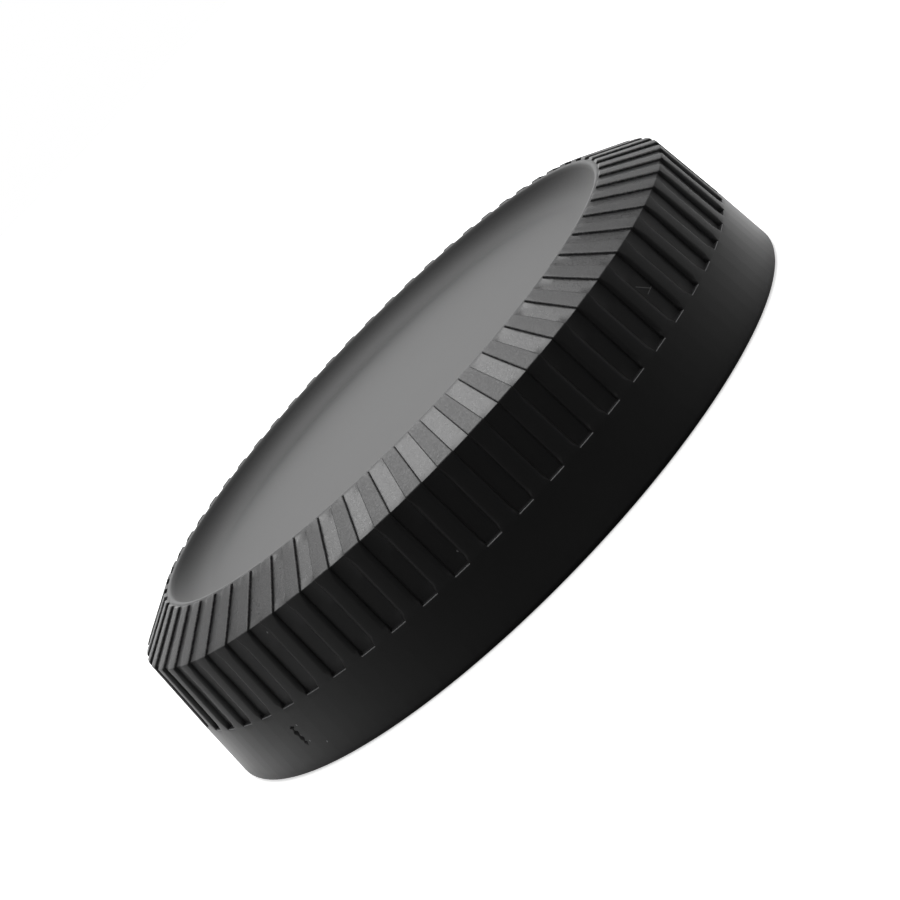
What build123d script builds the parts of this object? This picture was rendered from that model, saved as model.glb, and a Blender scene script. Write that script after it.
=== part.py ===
# Rear lens cap, moulded in one piece: a ribbed grip round a dished face, and a three-tab bayonet inside.
# Origin at the centre of the open rim, +Z towards the face. Millimetres and degrees.
from build123d import *
from math import radians, tan
import os

# The bayonet that grips the lens, and the walls round it, from the inside out
bayonet_bore = 48.2
ring_thickness = 1.5
ring_gap = 2.6
skirt_thickness = 1.9

# The outside, from the rim up to the lip round the face
collar_height = 5.6
collar_taper = 5.1
grip_height = 6.25
grip_taper = 6.2
bevel_width = 4.6
bevel_angle = 27.2
rim_round = 0.5
corner_break = 0.25

# The grooves of the grip: a share of each pitch, closing towards the rim by the mould's draft
groove_count = 60
groove_share = 0.49
groove_draft = 0.75
groove_turn = 1.4
groove_depth_at_ledge = 0.38
groove_depth_at_corner = 0.28
groove_depth_on_bevel = 0.24
rib_end_slope = 0.2

# The face: a narrow lip round a shallow dish
lip_width = 0.42
dish_depth = 1.9
dish_run = 3.2
face_thickness = 1.6
roof_thickness = 1.4

# Inside: a shallow seat for the lens's flange, the tabs and the webs between ring and skirt
seat_depth = 1.2
seat_edge_break = 0.3
tab_count = 3
tab_reach = 1.95
tab_thickness = 1.4
tab_setback = 0.4
tab_span = 54.0
tab_turn = 12.0
lead_in_run = 3.0
lead_in_rise = 0.5
stop_width = 1.6
stop_height = 1.5
stop_reach = 1.0
web_count = 12
web_thickness = 1.0
weld = 0.4
reach_past = 2.0

# Radii and heights that follow from the sizes above
ring_inner = bayonet_bore / 2
ring_outer = ring_inner + ring_thickness
seat_radius = ring_outer + ring_gap
rim_radius = seat_radius + skirt_thickness
collar_radius = rim_radius - collar_height * tan(radians(collar_taper))
corner_height = collar_height + grip_height
corner_radius = collar_radius - grip_height * tan(radians(grip_taper))
bevel_rise = tan(radians(bevel_angle))
groove_corner_radius = corner_radius - groove_depth_at_corner
groove_corner_height = corner_height + groove_depth_at_corner * bevel_rise - groove_depth_on_bevel
lip_radius = corner_radius - bevel_width


def bevel_floor(radius):
    """Height of the grooves' floor on the bevel at a radius."""
    return groove_corner_height + (groove_corner_radius - radius) * bevel_rise


lip_height = bevel_floor(lip_radius)
rib_end_radius = lip_radius + rib_end_slope
rib_end_height = corner_height + (corner_radius - rib_end_radius) * bevel_rise
lip_inner = lip_radius - lip_width
face_height = lip_height - dish_depth
ceiling_height = face_height - face_thickness
ledge_floor_radius = collar_radius - groove_depth_at_ledge
stop_inner = ring_inner - stop_reach


def skirt_inner(height):
    """Radius of the skirt's inner face, which follows the collar's taper above the seat."""
    return seat_radius - (height - seat_depth) * tan(radians(collar_taper))


def gap_roof(radius):
    """Height of the roof over the gap between ring and skirt, under the bevel."""
    return bevel_floor(radius) - roof_thickness


# The roof slopes down to meet the skirt's tapered inner face
roof_meets_skirt = (gap_roof(0) - bevel_rise * skirt_inner(0)) / (1 - bevel_rise * tan(radians(collar_taper)))
roof_outer_radius = skirt_inner(roof_meets_skirt)


def section():
    """Half of the cap's cross-section, on the XZ plane."""
    dish = TangentArc((lip_inner - dish_run, face_height), (lip_inner, lip_height), tangent=(1, 0))
    outline = Polyline(
        (lip_inner, lip_height),
        (lip_radius, lip_height),
        (rib_end_radius, rib_end_height),
        (corner_radius, corner_height),
        (collar_radius, collar_height),
        (rim_radius, 0),
        (seat_radius + seat_edge_break, 0),
        (seat_radius, seat_edge_break),
        (seat_radius, seat_depth),
        (roof_outer_radius, roof_meets_skirt),
        (ring_outer, gap_roof(ring_outer)),
        (ring_outer, seat_depth),
        (ring_inner, seat_depth),
        (ring_inner, ceiling_height),
        (0, ceiling_height),
        (0, face_height),
        (lip_inner - dish_run, face_height),
    )
    flat = make_face([dish, outline])
    flat = chamfer(flat.vertices().sort_by_distance((corner_radius, corner_height, 0))[0], corner_break)
    flat = fillet(flat.vertices().sort_by_distance((rim_radius, 0, 0))[0], rim_round)
    return Plane.XZ * flat


def groove():
    """One groove's space: above its floors on bevel and wall, between two drafted radial walls."""
    half_angle = groove_share * 180 / groove_count
    beyond = rim_radius + reach_past
    floors = make_face(Polyline(
        (ledge_floor_radius, collar_height),
        (groove_corner_radius, groove_corner_height),
        (lip_radius, lip_height),
        (lip_radius, lip_height + reach_past),
        (beyond, lip_height + reach_past),
        (beyond, collar_height),
        (ledge_floor_radius, collar_height),
    ))
    space = extrude(Plane.XZ * floors, amount=beyond * tan(radians(2 * half_angle)), both=True)
    for side in (1, -1):
        along = Vector(1, 0, 0).rotate(Axis.Z, side * half_angle)
        away = Vector(0, side, 0).rotate(Axis.Z, side * half_angle)
        outward = away.rotate(Axis((0, 0, 0), along), -side * groove_draft)
        wall = Plane(origin=(0, 0, corner_height), x_dir=along, z_dir=outward)
        space = split(space, bisect_by=wall, keep=Keep.BOTTOM)
    return space


def tab():
    """One bayonet tab: a ramp leads a lug of the lens in behind it, and a stop ends the turn."""
    low = seat_depth + tab_setback
    high = low + tab_thickness
    inner = ring_inner - tab_reach
    outer = ring_inner + weld
    blade = make_face(Polyline((inner, low), (outer, low), (outer, high), (inner, high), (inner, low)))
    swept = revolve(Plane.XZ * blade, Axis.Z, tab_span)
    ramp = make_face(Polyline((0, high - lead_in_rise), (lead_in_run, high), (0, high), (0, high - lead_in_rise)))
    entry = Plane(origin=(0, 0, 0), x_dir=(0, -1, 0), z_dir=(1, 0, 0))
    lead_in = Rot(0, 0, tab_span) * extrude(entry * ramp, amount=ring_inner)
    block = Box(outer - stop_inner, stop_width, high + stop_height - low, align=(Align.MIN, Align.MIN, Align.MIN))
    return swept - lead_in + Pos(stop_inner, 0, low) * block


def web():
    """One radial web that ties the ring to the skirt under the bevel."""
    sheet = make_face(Polyline(
        (ring_outer - weld, seat_depth),
        (seat_radius + weld, seat_depth),
        (roof_outer_radius + weld, roof_meets_skirt),
        (ring_outer - weld, gap_roof(ring_outer)),
        (ring_outer - weld, seat_depth),
    ))
    return extrude(Plane.XZ * sheet, amount=web_thickness / 2, both=True)


def turned(piece, count, start):
    """Copies of a piece, evenly round the axis."""
    return [Rot(0, 0, start + 360 / count * k) * piece for k in range(count)]


cap = revolve(section(), Axis.Z)
cap = cap + turned(web(), web_count, 0)
cap = cap + turned(tab(), tab_count, tab_turn)
cap = cap - turned(groove(), groove_count, -90 + groove_turn)

os.makedirs("parts", exist_ok=True)
export_step(cap, "parts/rear_cap.step")
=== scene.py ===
from math import asin, atan2, cos, degrees, radians, sin, sqrt, tan

import bmesh
import bpy
import numpy as np
from mathutils import Matrix


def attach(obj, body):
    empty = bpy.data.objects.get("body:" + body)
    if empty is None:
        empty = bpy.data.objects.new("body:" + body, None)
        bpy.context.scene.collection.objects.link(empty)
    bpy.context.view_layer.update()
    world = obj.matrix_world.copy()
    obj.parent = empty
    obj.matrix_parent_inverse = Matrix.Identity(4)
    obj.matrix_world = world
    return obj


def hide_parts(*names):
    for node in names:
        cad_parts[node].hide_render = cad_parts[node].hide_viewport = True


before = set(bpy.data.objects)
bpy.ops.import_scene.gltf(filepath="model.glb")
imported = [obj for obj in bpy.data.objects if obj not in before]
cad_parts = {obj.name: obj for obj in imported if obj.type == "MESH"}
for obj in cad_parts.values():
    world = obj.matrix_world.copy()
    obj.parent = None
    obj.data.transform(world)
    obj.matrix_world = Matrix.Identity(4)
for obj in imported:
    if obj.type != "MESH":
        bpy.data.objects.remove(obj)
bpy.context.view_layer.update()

# The cap is one moulding in black plastic: an outside skin with sixty grooves, and inside it a ring
# that carries three bayonet tabs, tied to the skirt by twelve webs. The mould leaves every edge
# slightly rounded. Lengths are in millimetres here, and the finished mesh is in metres.
metres = 0.001
rim_radius, rim_round, rim_end = 30.1, 0.5, 28.5
collar_height, collar_taper = 5.6, tan(radians(5.1))
grip_height, grip_taper = 6.25, tan(radians(6.2))
bevel_width, bevel_rise = 4.6, tan(radians(27.2))
ledge_depth, corner_depth, bevel_depth = 0.38, 0.28, 0.24
ledge_round, floor_corner_round, corner_round, rib_end_round = 0.12, 0.08, 0.15, 0.1
lip_width, lip_crown = 0.42, 0.08
dish_depth, dish_run, face_margin = 1.9, 3.2, 0.4

collar_radius = rim_radius - collar_height * collar_taper
corner_radius, corner_height = collar_radius - grip_height * grip_taper, collar_height + grip_height
groove_foot = (collar_radius - ledge_depth, collar_height)
groove_corner = (corner_radius - corner_depth, corner_height + corner_depth * bevel_rise - bevel_depth)
lip_radius = corner_radius - bevel_width
lip_inner = lip_radius - lip_width
lip_height = groove_corner[1] + (groove_corner[0] - lip_radius) * bevel_rise
rib_end = (lip_radius + 0.2, corner_height + (bevel_width - 0.2) * bevel_rise)
face_height = lip_height - dish_depth


def arc(centre, radius, start, end, steps):
    """Points of the section along an arc, with both ends, its angles in degrees."""
    angles = np.radians(np.linspace(start, end, steps + 1))
    return [(centre[0] + radius * cos(a), centre[1] + radius * sin(a)) for a in angles]


def facing(start, end):
    """The way a straight stretch of the section faces, in degrees from straight out."""
    return degrees(atan2(start[0] - end[0], end[1] - start[1]))


def rounding(corner, radius, before, after, steps):
    """Points round a corner between two straight stretches that face these ways."""
    first, second = (np.array((cos(radians(a)), sin(radians(a)))) for a in (before, after))
    centre = np.array(corner) - radius * (first + second) / (1 + first @ second)
    return arc(centre, radius, before, after, steps)


def straight(start, end, shares):
    """Points of a straight stretch at shares of its length."""
    return [tuple(np.add(start, np.subtract(end, start) * share)) for share in shares]


def collar_point(height):
    return rim_radius - height * collar_taper, height


def rib_point(height):
    return collar_radius - (height - collar_height) * grip_taper, height


def bevel_point(beyond_lip):
    """A point of the grooves' floor on the bevel, at a distance outside the lip."""
    return lip_radius + beyond_lip, lip_height - beyond_lip * bevel_rise


collar_facing, bevel_facing = facing(collar_point(0), collar_point(1)), facing((1, 0), (0, bevel_rise))
rib_facing, floor_facing = facing(rib_point(6), rib_point(7)), facing(groove_foot, groove_corner)
end_facing = facing(rib_end, (lip_radius, lip_height))

# The section's points run from the rim over the collar, the grip and the bevel to the face. On the
# grip and the bevel there are two paths, the grooves' floor and the ribs' top, with as many points.
# The moulded ribs are rounded over on the grip, and their flanks run out flat at both ends of it.
below_grip = rounding((rim_radius, 0), rim_round, -90, collar_facing, 6)
below_grip += [collar_point(height) for height in (1.6, 2.8, 4.0, 5.1)]

floor_path = rounding((collar_radius, collar_height), ledge_round, collar_facing, 90, 4)
for outward, upward in ((0.14, 0), (0.05, 0), (0.013, 0.015), (-0.005, 0.06)):
    floor_path.append((groove_foot[0] + outward, groove_foot[1] + upward))
top_path = [collar_point(floor_path[0][1])]
top_path += [collar_point(height) for height in (5.515, 5.54, 5.565, 5.59)]
top_path += [rib_point(height) for height in (5.62, 5.65, 5.68, 5.72)]

grip_shares = (0.015, 0.03, 0.055, 0.09, 0.2, 0.35, 0.5, 0.65, 0.76, 0.83, 0.89, 0.93, 0.97)
flat_to_ledge, flat_to_corner = 0.09, 0.17
rounded_over = [0] * (len(below_grip) + len(top_path))
rounded_over += [min(1, share / flat_to_ledge, (1 - share) / flat_to_corner) for share in grip_shares]
floor_corner = rounding(groove_corner, floor_corner_round, floor_facing, bevel_facing, 5)
top_corner = rounding((corner_radius, corner_height), corner_round, rib_facing, bevel_facing, 5)
floor_path += straight(floor_path[-1], floor_corner[0], grip_shares) + floor_corner
top_path += straight(top_path[-1], top_corner[0], grip_shares) + top_corner

bevel_shares = (0.2, 0.4, 0.6, 0.8)
floor_end = [bevel_point(beyond_lip) for beyond_lip in (0.28, 0.23, 0.18, 0.1, 0.03)]
top_end = rounding(rib_end, rib_end_round, bevel_facing, end_facing, 3)
top_end.append((lip_radius + 0.03, lip_height + 0.0205))
floor_path += straight(floor_path[-1], floor_end[0], bevel_shares) + floor_end
top_path += straight(top_path[-1], top_end[0], bevel_shares) + top_end

crown_radius = ((lip_radius - lip_inner) ** 2 / 4 + lip_crown ** 2) / (2 * lip_crown)
crown_middle = ((lip_radius + lip_inner) / 2, lip_height + lip_crown - crown_radius)
crown_half = degrees(asin((lip_radius - lip_inner) / 2 / crown_radius))
dish_radius = (dish_run ** 2 + dish_depth ** 2) / (2 * dish_depth)
dish_middle = (lip_inner - dish_run, face_height + dish_radius)
dish_slope = degrees(asin(dish_run / dish_radius))
above_grip = arc(crown_middle, crown_radius, 90 - crown_half, 90 + crown_half, 5)
above_grip += arc(dish_middle, dish_radius, dish_slope - 90, -90, 12)[1:]
above_grip.append((dish_middle[0] - face_margin, face_height))

floor_path = np.array(below_grip + floor_path + above_grip)
top_path = np.array(below_grip + top_path + above_grip)
rounded_over = np.array(rounded_over + [0] * (len(top_path) - len(rounded_over)))
rounded_over = rounded_over * rounded_over * (3 - 2 * rounded_over)


class Skin:
    """A mesh in the making, in which points at the same place are one vertex."""

    def __init__(self, name):
        self.name, self.points, self.shares, self.found, self.faces = name, [], [], {}, []

    def point(self, radius, height, angle, share=0.0):
        """A vertex, with its share of the way from a groove's floor to the ribs' top."""
        place = (radius * cos(angle), radius * sin(angle), height)
        key = tuple(round(value, 5) for value in place)
        if key not in self.found:
            self.found[key] = len(self.points)
            self.points.append([value * metres for value in place])
            self.shares.append(share)
        return self.found[key]

    def column(self, path, angle):
        """A path of the section as vertices, at an angle that may depend on the radius."""
        return [self.point(r, z, angle(r)) for r, z in path]

    def face(self, corners):
        corners = [c for k, c in enumerate(corners) if c != corners[k - 1]]
        if len(corners) > 2:
            self.faces.append(corners)

    def strip(self, first, second):
        """Faces between two columns with as many points, seen from outside the solid."""
        for k in range(len(first) - 1):
            self.face([first[k], second[k], second[k + 1], first[k + 1]])

    def close(self, first, second):
        """The flat end where the skin's path changes from one column to the next."""
        start = next(k for k in range(len(first)) if first[k] != second[k]) - 1
        end = next(k for k in range(len(first)) if first[-1 - k] != second[-1 - k]) - 1
        self.face(second[start:len(second) - end] + first[start + 1:len(first) - end - 1][::-1])

    def made(self):
        mesh = bpy.data.meshes.new(self.name)
        mesh.from_pydata(self.points, [], self.faces)
        mesh.attributes.new("rib_top", "FLOAT", "POINT").data.foreach_set("value", self.shares)
        made = bpy.data.objects.new(self.name, mesh)
        bpy.context.scene.collection.objects.link(made)
        return made


# One pitch of the outside, from the middle of a rib over a groove to the middle of the next rib. The
# grooves' walls close towards the rim by the mould's draft, with a small radius at foot and top.
groove_count, groove_share, groove_draft, groove_turn = 60, 0.49, tan(radians(0.75)), 1.4
smallest_step = 0.16
flank_run_share, flank_fall_share = 0.5, 0.92
pitch_skin = Skin("pitch")
pitch = radians(360 / groove_count)
top_radius, top_height = top_path.T
apart = np.maximum(np.linalg.norm(top_path - floor_path, axis=1), smallest_step)
foot_round, lean, edge_round = np.minimum(0.03, 0.06 * apart), 0.05 * apart, np.minimum(0.12, 0.5 * apart)
wall_angle = groove_share * pitch / 2 + (top_height - corner_height) * groove_draft / top_radius
rib_half = top_radius * (pitch / 2 - wall_angle) - lean
edge_run = rounded_over * flank_run_share * rib_half + (1 - rounded_over) * edge_round
edge_fall = rounded_over * flank_fall_share * apart + (1 - rounded_over) * edge_round
nothing = np.zeros(len(top_path))
across, risen = [-foot_round, -0.3 * foot_round, nothing], [nothing, 0.3 * foot_round, foot_round]
for inward in (0, 0.03, 0.13, 0.3, 0.5, 0.75, 1):
    across.append(lean + inward * edge_run)
    risen.append(apart - (1 - sqrt(1 - (1 - inward) ** 2)) * edge_fall)
half = [(nothing, nothing)]
half += [(wall_angle + x / top_radius, y / apart) for x, y in zip(across, risen)]
half.append((nothing + pitch / 2, nothing + 1))
pitch_columns = []
for angles, shares in [(-a, s) for a, s in half[:0:-1]] + half:
    path = floor_path + (top_path - floor_path) * shares[:, None]
    pitch_columns.append([pitch_skin.point(r, z, a, s) for (r, z), a, s in zip(path, angles, shares)])
for first, second in zip(pitch_columns, pitch_columns[1:]):
    pitch_skin.strip(first, second)
outside_pitch = pitch_skin.made()

# One twelfth of the gap between ring and skirt: a web, which ties the two together under the bevel,
# and the pocket beside it. The path runs from the ring's end over the gap's roof to the rim.
web_count, web_half, pocket_steps = 12, 0.5, 14
ring_inner, ring_outer, seat_radius, seat_depth, edge_break = 24.1, 25.6, 28.2, 1.2, 0.3
roof_thickness, root_round = 1.4, -0.5
roof_start = groove_corner[1] + (groove_corner[0] - ring_outer) * bevel_rise - roof_thickness


def skirt_inside(height):
    return seat_radius - (height - seat_depth) * collar_taper


roof_end = roof_start - (skirt_inside(0) - ring_outer) * bevel_rise
roof_end /= 1 - bevel_rise * collar_taper
roof_facing, skirt_facing = bevel_facing - 180, collar_facing - 180
pocket_path = [(ring_outer, seat_depth), (ring_outer, 4.0), (ring_outer, 8.0)]
pocket_path += rounding((ring_outer, roof_start), root_round, 0, roof_facing, 5)
pocket_path += rounding((skirt_inside(roof_end), roof_end), root_round, roof_facing, skirt_facing, 4)
pocket_path += [(skirt_inside(6.0), 6.0), (skirt_inside(3.5), 3.5), (seat_radius, seat_depth)]
seat_path = [(seat_radius, edge_break), (rim_end, 0)]
web_path = [(ring_outer, seat_depth), (seat_radius, seat_depth)] + seat_path
twelfth_skin = Skin("twelfth")
twelfth = 2 * np.pi / web_count


def beside_web(share):
    """An angle between one web's side and the next one's."""
    return lambda r: asin(web_half / r) * (1 - 2 * share) + twelfth * share


pocket_columns = [twelfth_skin.column(pocket_path + seat_path, beside_web(step / pocket_steps))
                  for step in range(pocket_steps + 1)]
web_columns = [twelfth_skin.column(web_path, lambda r, s=s: s * asin(web_half / r)) for s in (-1, 1)]
next_web_column = twelfth_skin.column(web_path, beside_web(1))
twelfth_skin.strip(*web_columns)
for first, second in zip(pocket_columns, pocket_columns[1:]):
    twelfth_skin.strip(first, second)
twelfth_skin.close(web_columns[1], pocket_columns[0])
twelfth_skin.close(pocket_columns[-1], next_web_column)
gap_twelfth = twelfth_skin.made()

# One third of the ring's inside, with a bayonet tab. A lug of the lens goes in beside the tab, slides
# up a short ramp behind it, and turns until it meets the stop at the tab's other end.
tab_start, tab_span, tab_inner, tab_low, tab_high, tab_round = radians(12), radians(54), 22.15, 1.6, 3.0, 0.25
stop_width, stop_inner, stop_high, stop_round, ramp_run, ramp_rise = 1.6, 23.1, 4.5, 0.2, 3.0, 0.5
tab_count, face_thickness = 3, 1.6
ceiling = face_height - face_thickness
tab_end = tab_start + tab_span
third_skin = Skin("third")
third = 2 * np.pi / tab_count


def bore_path(kind, high):
    """The ring's inside from the ceiling to its end, plain, over a tab or over a tab's stop."""
    path = rounding((ring_inner, ceiling), root_round, -90, -180, 4)
    path += [(ring_inner, 7.0), (ring_inner, stop_high)]
    tab_edge = arc((tab_inner + tab_round, high - tab_round), tab_round, 90, 180, 4)
    tab_edge += arc((tab_inner + tab_round, tab_low + tab_round), tab_round, 180, 270, 4)
    if kind == "stop":
        path += arc((stop_inner + stop_round, stop_high - stop_round), stop_round, 90, 180, 3)
        path += [(stop_inner, high)] + tab_edge
    elif kind == "tab":
        path += [(ring_inner, high), (stop_inner, high)] + tab_edge
    else:
        path += [(ring_inner, high)]
    return path + [(ring_inner, tab_low), (ring_inner, seat_depth)]


def tab_top(from_end):
    """Height of a tab's top, at a distance from the tab's open end: its ramp, and full height beyond."""
    if not -1e-6 < from_end < tab_span * ring_inner + 1e-6:
        return tab_high
    return tab_high - ramp_rise * max(0, 1 - from_end / ramp_run)


def lined(start, end, kind, parts, opens=0.0, closes=0.0):
    """Columns of one kind between two angles, which are a plane's where a distance is given."""
    columns = []
    for share in (k / parts for k in range(parts + 1)):
        angle = lambda r, f=share: (start + asin(opens / r)) * (1 - f) + (end - asin(closes / r)) * f
        high = tab_top((tab_end - angle(ring_inner)) * ring_inner)
        columns.append(third_skin.column(bore_path(kind, high), angle))
    return columns


runs = [
    lined(0, tab_start, "plain", 6),
    lined(tab_start, tab_start, "stop", 1, closes=-stop_width),
    lined(tab_start, tab_end, "tab", 20, opens=stop_width, closes=ramp_run),
    lined(tab_end, tab_end, "tab", 3, opens=-ramp_run),
    lined(tab_end, third, "plain", 27),
]
for run in runs:
    for first, second in zip(run, run[1:]):
        third_skin.strip(first, second)
for run, after in zip(runs, runs[1:]):
    if run[-1] != after[0]:
        third_skin.close(run[-1], after[0])
ring_third = third_skin.made()


def turning_tree():
    """Geometry Nodes that stand copies of a sector round the axis and weld them together."""
    tree = bpy.data.node_groups.new("turned_copies", "GeometryNodeTree")
    sockets = (("Sector", "NodeSocketGeometry"), ("Count", "NodeSocketInt"), ("Turn", "NodeSocketFloat"),
               ("Weld", "NodeSocketFloat"), ("Plastic", "NodeSocketMaterial"))
    for name, kind in sockets:
        tree.interface.new_socket(name, in_out="INPUT", socket_type=kind)
    tree.interface.new_socket("Skin", in_out="OUTPUT", socket_type="NodeSocketGeometry")
    given, result = tree.nodes.new("NodeGroupInput"), tree.nodes.new("NodeGroupOutput")

    def node(kind, links, **settings):
        made = tree.nodes.new(kind)
        for name, value in settings.items():
            setattr(made, name, value)
        for name, value in links.items():
            if isinstance(value, (int, float)):
                made.inputs[name].default_value = value
            else:
                tree.links.new(value, made.inputs[name])
        return made.outputs[0]

    places = node("GeometryNodePoints", {"Count": given.outputs["Count"]})
    step = node("ShaderNodeMath", {0: 2 * np.pi, 1: given.outputs["Count"]}, operation="DIVIDE")
    index = node("GeometryNodeInputIndex", {})
    turn = node("ShaderNodeMath", {0: index, 1: step, 2: given.outputs["Turn"]}, operation="MULTIPLY_ADD")
    rotation = node("ShaderNodeCombineXYZ", {"Z": turn})
    copies = node("GeometryNodeInstanceOnPoints",
                  {"Points": places, "Instance": given.outputs["Sector"], "Rotation": rotation})
    real = node("GeometryNodeRealizeInstances", {"Geometry": copies})
    whole = node("GeometryNodeMergeByDistance", {"Geometry": real, "Distance": given.outputs["Weld"]})
    painted = node("GeometryNodeSetMaterial", {"Geometry": whole, "Material": given.outputs["Plastic"]})
    tree.links.new(painted, result.inputs[0])
    return tree


turned_copies = turning_tree()
black_plastic = bpy.data.materials.new("black_plastic")


def turned(sector, count, turn):
    """The mesh of a sector's copies round the whole cap."""
    modifier = sector.modifiers.new("turned", "NODES")
    modifier.node_group = turned_copies
    given = {"Count": count, "Turn": turn, "Weld": 0.001 * metres, "Plastic": black_plastic}
    for item in turned_copies.interface.items_tree:
        if item.name in given:
            modifier[item.identifier] = given[item.name]
    graph = bpy.context.evaluated_depsgraph_get()
    mesh = bpy.data.meshes.new_from_object(sector.evaluated_get(graph))
    bpy.data.objects.remove(sector)
    return mesh


skins = [
    turned(outside_pitch, groove_count, radians(groove_turn - 90)),
    turned(gap_twelfth, web_count, 0.0),
    turned(ring_third, tab_count, 0.0),
]

# The moulding's flat parts join the three skins into one closed surface: the rim's end, the ring's
# end with the webs' ends, the face, and the ceiling under it.
joined = bmesh.new()
for mesh in skins:
    joined.from_mesh(mesh)
open_edges = [edge for edge in joined.edges if edge.is_boundary]


def open_edges_at(height):
    return [e for e in open_edges if all(abs(v.co.z - height * metres) < 1e-7 for v in e.verts)]


for height in (0, seat_depth):
    bmesh.ops.triangle_fill(joined, use_beauty=True, use_dissolve=False, edges=open_edges_at(height),
                            normal=(0, 0, -1))
for height in (face_height, ceiling):
    bmesh.ops.contextual_create(joined, geom=open_edges_at(height))
bmesh.ops.recalc_face_normals(joined, faces=joined.faces)
whole_mesh = bpy.data.meshes.new("whole_skin")
joined.to_mesh(whole_mesh)
joined.free()
whole = bpy.data.objects.new("whole_skin", whole_mesh)
bpy.context.scene.collection.objects.link(whole)

# Wear on the moulding: the collar has one nick at the front left, a jagged cut along the axis about
# two millimetres long. Each station has its angle in degrees, height and reach to either side.
nick_stations = [
    (-139.50, 4.14, 0.05, 0.05), (-139.55, 4.00, 0.28, 0.36), (-139.70, 3.84, 0.08, 0.16),
    (-139.70, 3.72, 0.10, 0.12), (-139.65, 3.55, 0.28, 0.36), (-139.65, 3.38, 0.24, 0.28),
    (-139.60, 3.16, 0.10, 0.16), (-139.45, 2.92, 0.24, 0.28), (-139.48, 2.78, 0.16, 0.22),
    (-139.50, 2.66, 0.08, 0.10), (-139.47, 2.50, 0.22, 0.26), (-139.45, 2.36, 0.14, 0.10),
    (-139.45, 2.24, 0.04, 0.04),
]
nick_clearance, nick_steepness = 0.2, 0.4
nick_points = []
for station_angle, station_height, to_left, to_right in nick_stations:
    surface = collar_point(station_height)[0]
    nick_depth = nick_steepness * (to_left + to_right)
    corners = ((nick_clearance, -to_left), (nick_clearance, to_right), (-nick_depth, 0))
    for outward, sideways in corners:
        angle = radians(station_angle) + sideways * (1 + nick_clearance / nick_depth) / surface
        place = ((surface + outward) * cos(angle), (surface + outward) * sin(angle), station_height)
        nick_points.append([value * metres for value in place])
nick_faces = [(0, 1, 2), tuple(range(len(nick_points) - 3, len(nick_points)))]
for k in range(0, len(nick_points) - 3, 3):
    nick_faces += [(k + a, k + b, k + 3 + b, k + 3 + a) for a, b in ((0, 1), (1, 2), (2, 0))]
nick_mesh = bpy.data.meshes.new("nick")
nick_mesh.from_pydata(nick_points, [], nick_faces)
closed = bmesh.new()
closed.from_mesh(nick_mesh)
bmesh.ops.triangulate(closed, faces=closed.faces)
bmesh.ops.recalc_face_normals(closed, faces=closed.faces)
closed.to_mesh(nick_mesh)
closed.free()
nick = bpy.data.objects.new("nick", nick_mesh)
bpy.context.scene.collection.objects.link(nick)
cut = whole.modifiers.new("nick", "BOOLEAN")
cut.object, cut.operation, cut.solver = nick, "DIFFERENCE", "EXACT"
nicked_mesh = bpy.data.meshes.new_from_object(whole.evaluated_get(bpy.context.evaluated_depsgraph_get()))
bpy.data.objects.remove(whole)
bpy.data.objects.remove(nick)

# The mould's edges are all rounded, so every edge that turns by less than 35 degrees is shaded smooth.
sharp_from = radians(35)
shaded = bmesh.new()
shaded.from_mesh(nicked_mesh)
for face in shaded.faces:
    face.smooth = True
for edge in shaded.edges:
    edge.smooth = edge.calc_face_angle(0) < sharp_from
cap_mesh = bpy.data.meshes.new("rear_cap_skin")
shaded.to_mesh(cap_mesh)
shaded.free()
cap_mesh.materials.append(black_plastic)
cap = bpy.data.objects.new("rear_cap_moulding", cap_mesh)
bpy.context.scene.collection.objects.link(cap)
weighting = cap.modifiers.new("even_shading", "WEIGHTED_NORMAL")
weighting.keep_sharp = True


class Value:
    """A socket in a shader. Python's operators on it add Math nodes."""

    def __init__(self, tree, socket=None):
        self.tree, self.socket = tree, socket

    def node(self, kind, inputs, output=0, **settings):
        """Adds a node: its settings first, then the values or links of its sockets."""
        made = self.tree.nodes.new(kind)
        for name, value in settings.items():
            setattr(made, name, value)
        for name, value in inputs.items():
            if isinstance(value, Value):
                self.tree.links.new(value.socket, made.inputs[name])
            else:
                made.inputs[name].default_value = value
        return Value(self.tree, made.outputs[output] if made.outputs else None)

    def math(self, operation, *values, **settings):
        return self.node("ShaderNodeMath", dict(enumerate(values)), operation=operation, **settings)

    def __add__(self, other):
        return self.math("ADD", self, other)

    def __sub__(self, other):
        return self.math("SUBTRACT", self, other)

    def __rsub__(self, other):
        return self.math("SUBTRACT", other, self)

    def __mul__(self, other):
        return self.math("MULTIPLY", self, other)

    def __truediv__(self, other):
        return self.math("DIVIDE", self, other)

    __radd__, __rmul__ = __add__, __mul__

    def between(self, low, high):
        """Rises smoothly from 0 at one value to 1 at the other."""
        inputs = {"Value": self, "From Min": low, "From Max": high}
        return self.node("ShaderNodeMapRange", inputs, interpolation_type="SMOOTHSTEP")


# The plastic is filled with black, and its mould is spark-eroded: a fine matt grain outside, coarsest
# on the bevel and smoothest on the face. Heights and radii are in metres from here on.
black_plastic.use_nodes = True
black_plastic.node_tree.nodes.clear()
plastic_nodes = Value(black_plastic.node_tree)
position = plastic_nodes.node("ShaderNodeTexCoord", {}, output=3)
level = plastic_nodes.node("ShaderNodeSeparateXYZ", {"Vector": position}, output=2)
flat_position = plastic_nodes.node("ShaderNodeVectorMath", {0: position, 1: (1, 1, 0)}, operation="MULTIPLY")
from_axis = plastic_nodes.node("ShaderNodeVectorMath", {0: flat_position}, output=1, operation="LENGTH")


def noise(scale, detail, rough):
    inputs = {"Vector": position, "Scale": scale, "Detail": detail, "Roughness": rough}
    return plastic_nodes.node("ShaderNodeTexNoise", inputs)


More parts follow.
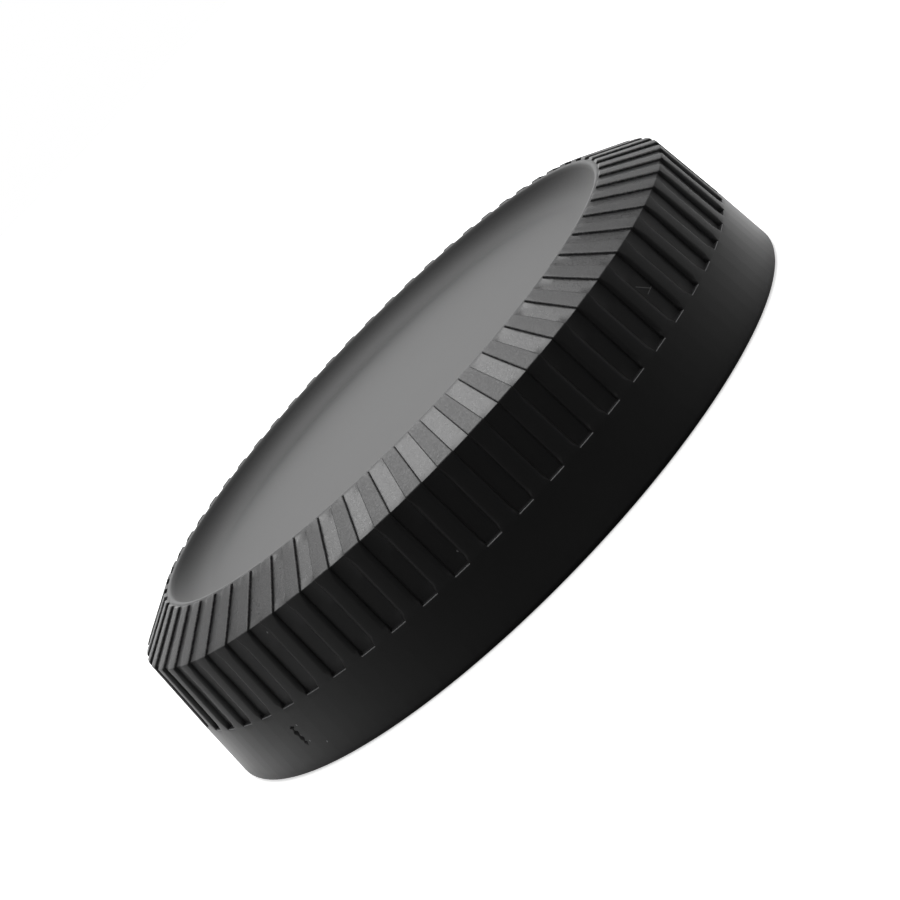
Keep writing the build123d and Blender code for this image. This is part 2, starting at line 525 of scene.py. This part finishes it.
def mark(start_at, end_at, width):
    """Where a thin mark lies between two points of the surface, in millimetres."""
    begin, along = np.array(start_at) * metres, (np.array(end_at) - np.array(start_at)) * metres
    offset = plastic_nodes.node("ShaderNodeVectorMath", {0: position, 1: tuple(begin)}, operation="SUBTRACT")
    share = plastic_nodes.node("ShaderNodeVectorMath", {0: offset, 1: tuple(along / (along @ along))},
                               output=1, operation="DOT_PRODUCT")
    share = share.math("ADD", share, 0.0, use_clamp=True)
    back_along = plastic_nodes.node("ShaderNodeVectorMath", {0: tuple(-along), "Scale": share},
                                    operation="SCALE")
    aside_by = plastic_nodes.node("ShaderNodeVectorMath", {0: offset, 1: back_along}, operation="ADD")
    distance = plastic_nodes.node("ShaderNodeVectorMath", {0: aside_by}, output=1, operation="LENGTH")
    return 1 - distance.between(0.4 * width * metres, width * metres)


grip_foot, grip_end = (0.0055, 0.0057), (0.0117, 0.0121)
on_face = 1 - from_axis.between(0.0241, 0.0245)
on_bevel = level.between(*grip_end) * (1 - on_face)
on_grip = level.between(*grip_foot) * (1 - level.between(*grip_end)) * (1 - on_face)
on_rib = plastic_nodes.node("ShaderNodeAttribute", {}, output=2, attribute_name="rib_top")
grain = noise(6500, 3.0, 0.7)
uneven = grain - 0.5
relief = uneven * (0.15 + (0.3 + 0.4 * on_rib) * on_bevel - 0.1 * on_face)
grain_depth = 0.00002
bumped = plastic_nodes.node("ShaderNodeBump", {"Strength": 1.0, "Distance": grain_depth, "Height": relief})

# Painted highlights make the cap a little paler at the ledges' edges, the ribs' edges on the bevel and the
# lip. Three specks and two short scratches lie on grip and collar, and two specks beside the nick.
# Painted highlight along the ledge's edge in each groove.
painted_ledge_highlight = level.between(0.00553, 0.00556) * (1 - level.between(0.00558, 0.005598)) * (1 - on_rib)
# Painted highlight along the lip's crown.
painted_lip_highlight = from_axis.between(0.02385, 0.0239) * (1 - from_axis.between(0.0243, 0.0244))
painted_lip_highlight = painted_lip_highlight * level.between(0.0135, 0.0138)
# Painted highlight along the ribs' edges on the bevel, dotted by the grain.
painted_edge_highlight = on_bevel * on_rib.between(0.45, 0.6) * (1 - on_rib.between(0.9, 0.99)) * grain.between(0.35, 0.6)
on_collar = level.between(0.0020, 0.0021) * (1 - level.between(0.0046, 0.0048))
under_surface = metres * rim_radius - level * collar_taper - from_axis
in_nick = under_surface.between(0.00002, 0.00006) * from_axis.between(0.0292, 0.0293) * on_collar
speck, scratch = 1.0, 0.6
marks = sum(strength * mark(start_at, end_at, width) for strength, start_at, end_at, width in (
    (speck, (-18.378, -22.072, 10.883), (-18.40, -22.06, 10.82), 0.07),
    (speck, (-21.4, -20.93, 1.86), (-21.42, -20.9, 1.80), 0.07),
    (speck, (-4.751, -28.726, 6.709), (-4.72, -28.73, 6.65), 0.07),
    (speck, (-22.20, -19.79, 4.05), (-22.18, -19.81, 4.00), 0.07),
    (speck, (-22.38, -19.79, 2.52), (-22.37, -19.81, 2.47), 0.06),
    (scratch, (17.237, -23.167, 9.235), (17.943, -22.732, 8.344), 0.05),
    (scratch, (18.054, -22.648, 8.323), (17.501, -23.088, 8.235), 0.05),
))

blotches = (noise(260, 3.0, 0.5) - 0.5) * 0.3
tone = 1 + blotches + on_bevel * (4.5 * grain.between(0.42, 0.78) - 0.4)
# The colour adds the painted highlights at the ledges, the bevel's rib edges and the lip.
black = 0.012 * tone + 0.15 * painted_ledge_highlight + 0.03 * painted_edge_highlight + 0.02 * painted_lip_highlight
# Inside the nick the colour is darkened, as painted shade in the cut.
grey = black * (1 - 0.8 * in_nick) + 0.2 * marks
colour = plastic_nodes.node("ShaderNodeCombineColor", {0: grey, 1: grey, 2: 1.02 * grey})
roughness = 0.44 + 0.18 * on_face + (0.01 + 0.03 * on_rib) * on_grip + on_bevel * (0.14 * on_rib - 0.07)
roughness = roughness + 0.2 * in_nick + uneven * (0.02 + 0.6 * on_bevel)
plastic = plastic_nodes.node("ShaderNodeBsdfPrincipled",
                             {"Base Color": colour, "Roughness": roughness, "Normal": bumped, "IOR": 1.5})
plastic_nodes.node("ShaderNodeOutputMaterial", {"Surface": plastic})

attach(cap, "root")
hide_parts("rear_cap")

# A plain sheet under the cap, which the camera sees white with the cap's shadow on it. The cap itself
# reflects it white behind and beside it, and in front a dark card, which keeps the near wall black.
floor_reach = 6.0
floor_mesh = bpy.data.meshes.new("studio_floor")
floor_corners = [(x * floor_reach, y * floor_reach, 0) for x, y in ((-1, -1), (1, -1), (1, 1), (-1, 1))]
floor_mesh.from_pydata(floor_corners, [], [(0, 1, 2, 3)])
studio_floor = bpy.data.objects.new("studio_floor", floor_mesh)
bpy.context.scene.collection.objects.link(studio_floor)
floor_paint = bpy.data.materials.new("floor_paint")
floor_paint.use_nodes = True
floor_paint.node_tree.nodes.clear()
floor_nodes = Value(floor_paint.node_tree)
camera_ray, glossy_ray, transmission_ray = (
    floor_nodes.node("ShaderNodeLightPath", {}, output=k) for k in (0, 3, 6))
spot = floor_nodes.node("ShaderNodeTexCoord", {}, output=3)
across_floor, behind = (floor_nodes.node("ShaderNodeSeparateXYZ", {"Vector": spot}, output=k) for k in (0, 1))
away = floor_nodes.node("ShaderNodeVectorMath", {0: spot}, output=1, operation="LENGTH")
to_back = behind / away
to_back_left = (behind - 0.12 * across_floor) / away
near_card = 0.08 + 0.8 * to_back_left.between(-1.05, -0.05)
far_card = 0.26 * to_back_left.between(-0.9, -0.1) + 0.6 * to_back.between(0.5, 0.95)
card = 0.03 + near_card + away.between(0.033, 0.052) * (far_card - near_card)
narrowing = away.between(0.028, 0.08)
white_behind = to_back.between(0.6 * narrowing - 0.2, 0.85 * narrowing + 0.1)
seen_white = camera_ray + transmission_ray + glossy_ray * white_behind
card_colour = floor_nodes.node("ShaderNodeCombineColor", {0: card, 1: card, 2: card})
card_paint = floor_nodes.node("ShaderNodeBsdfDiffuse", {"Color": card_colour})
white_paint = floor_nodes.node("ShaderNodeBsdfDiffuse", {"Color": (0.8, 0.8, 0.8, 1)})
glow = floor_nodes.node("ShaderNodeEmission", {"Strength": 0.6 + 0.4 * away.between(0.05, 0.3)})
white = floor_nodes.node("ShaderNodeAddShader", {0: white_paint, 1: glow})
painted = floor_nodes.node("ShaderNodeMixShader", {0: seen_white, 1: card_paint, 2: white})
floor_nodes.node("ShaderNodeOutputMaterial", {"Surface": painted})
floor_mesh.materials.append(floor_paint)

# One large round softbox overhead and a little behind, which lights face and bevel, and the studio
# round it: a pale wall behind, which fades to the sides, and a dark room in front.
softbox_radiance, softbox_radius, softbox_behind, softbox_above = 5.2, 0.245, 0.22, 0.56
softbox_light = bpy.data.lights.new("softbox", "AREA")
softbox_light.shape, softbox_light.size = "DISK", 2 * softbox_radius
softbox_light.energy = softbox_radiance * np.pi * np.pi * softbox_radius ** 2
softbox = bpy.data.objects.new("softbox", softbox_light)
softbox.location = (0, softbox_behind, softbox_above)
softbox.rotation_euler = (-atan2(softbox_behind, softbox_above), 0, 0)
bpy.context.scene.collection.objects.link(softbox)

studio = bpy.data.worlds.new("studio")
studio.use_nodes = True
studio.node_tree.nodes.clear()
studio_nodes = Value(studio.node_tree)
camera_ray, transmission_ray = (studio_nodes.node("ShaderNodeLightPath", {}, output=k) for k in (0, 6))
seen_white = camera_ray + transmission_ray
direction = studio_nodes.node("ShaderNodeTexCoord", {}, output=0)
side, back, up = (
    studio_nodes.node("ShaderNodeSeparateXYZ", {"Vector": direction}, output=k) for k in range(3))
to_back_left = back - 0.15 * side
low_walls = 0.28 * to_back_left.between(-0.9, -0.1) + 0.8 * back.between(0.6, 0.95)
high_walls = 0.31 * to_back_left.between(-0.9, 0.3)
walls = low_walls + up.between(0.1, 0.5) * (high_walls - low_walls)
off_middle = side + 0.02
off_panel = (off_middle * off_middle).between(0.0, 0.2)
back_panel = back.between(0.0, 0.8) * (1 - off_panel) * (1 - up.between(0.6, 0.9))
overhead = (0.1 - back).between(0.0, 0.3) * up.between(0.6, 0.85)
surround = 0.05 + walls + (2.0 - 0.2 * up.between(0.25, 0.5)) * back_panel + 1.4 * overhead
strength = seen_white + (1 - seen_white) * surround
backdrop = studio_nodes.node("ShaderNodeBackground", {"Color": (1, 1, 1, 1), "Strength": strength})
studio_nodes.node("ShaderNodeOutputWorld", {"Surface": backdrop})
bpy.context.scene.world = studio

# The camera stands where the photograph was taken from, low in front of the cap and turned about its
# own axis, with the focal length that the fit to the photograph's outline gave.
tilt, roll = radians(12.454), radians(46.059)
focal_pixels, frame_pixels, sensor_width = 2207.9, 900, 36.0
ahead = np.array((0, cos(tilt), -sin(tilt)))
down = np.array((0, -sin(tilt), -cos(tilt)))
rightward = np.array((1, 0, 0))
camera_right = cos(roll) * rightward + sin(roll) * down
camera_down = cos(roll) * down - sin(roll) * rightward
lens = bpy.data.cameras.new("camera")
lens.sensor_width, lens.lens = sensor_width, sensor_width * focal_pixels / frame_pixels
lens.clip_start, lens.clip_end = 0.01, 50.0
camera = bpy.data.objects.new("camera", lens)
stand = Matrix([(*axes,) for axes in zip(camera_right, -camera_down, -ahead)]).to_4x4()
stand.translation = (-0.000122, -0.174717, 0.044202)
camera.matrix_world = stand
bpy.context.scene.collection.objects.link(camera)
bpy.context.scene.camera = camera
bpy.context.scene.view_settings.view_transform = "Standard"
